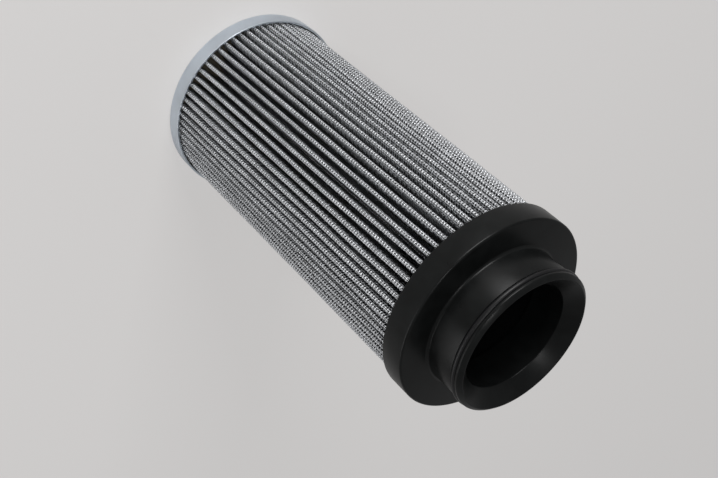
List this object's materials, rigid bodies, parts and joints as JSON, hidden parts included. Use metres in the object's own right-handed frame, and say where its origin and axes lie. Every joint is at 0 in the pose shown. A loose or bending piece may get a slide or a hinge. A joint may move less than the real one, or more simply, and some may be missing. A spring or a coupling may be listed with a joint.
{
  "type": "pleated filter element",
  "caption": "Cylindrical pleated filter element with a steel base cap, wire cloth over folded media and a black ported end cap with a sealed neck.",
  "frame": {"origin": "centre of the steel cap's flat outer face, which the element stands on", "axes": "+Z along the element's axis, from the steel cap to the open neck; X and Y are free"},
  "size_m": [0.0938, 0.0938, 0.2084],
  "materials": {
    "zinc_plated_steel": "satin zinc plating",
    "plated_tube_steel": "dull plated",
    "woven_wire": "bright woven wire",
    "filter_media": "matte glass fibre",
    "cured_adhesive": "cured resin",
    "black_nylon": "semi-matte moulded",
    "black_rubber": "lightly oiled"
  },
  "bodies": {
    "root": {"bottom_end_cap": "zinc_plated_steel", "bottom_adhesive": "cured_adhesive", "centre_tube": "plated_tube_steel", "filter_media": "filter_media", "outer_wire_cloth": "woven_wire", "top_adhesive": "cured_adhesive", "top_end_cap": "black_nylon", "neck_o_ring": "black_rubber"}
  },
  "joints": []
}
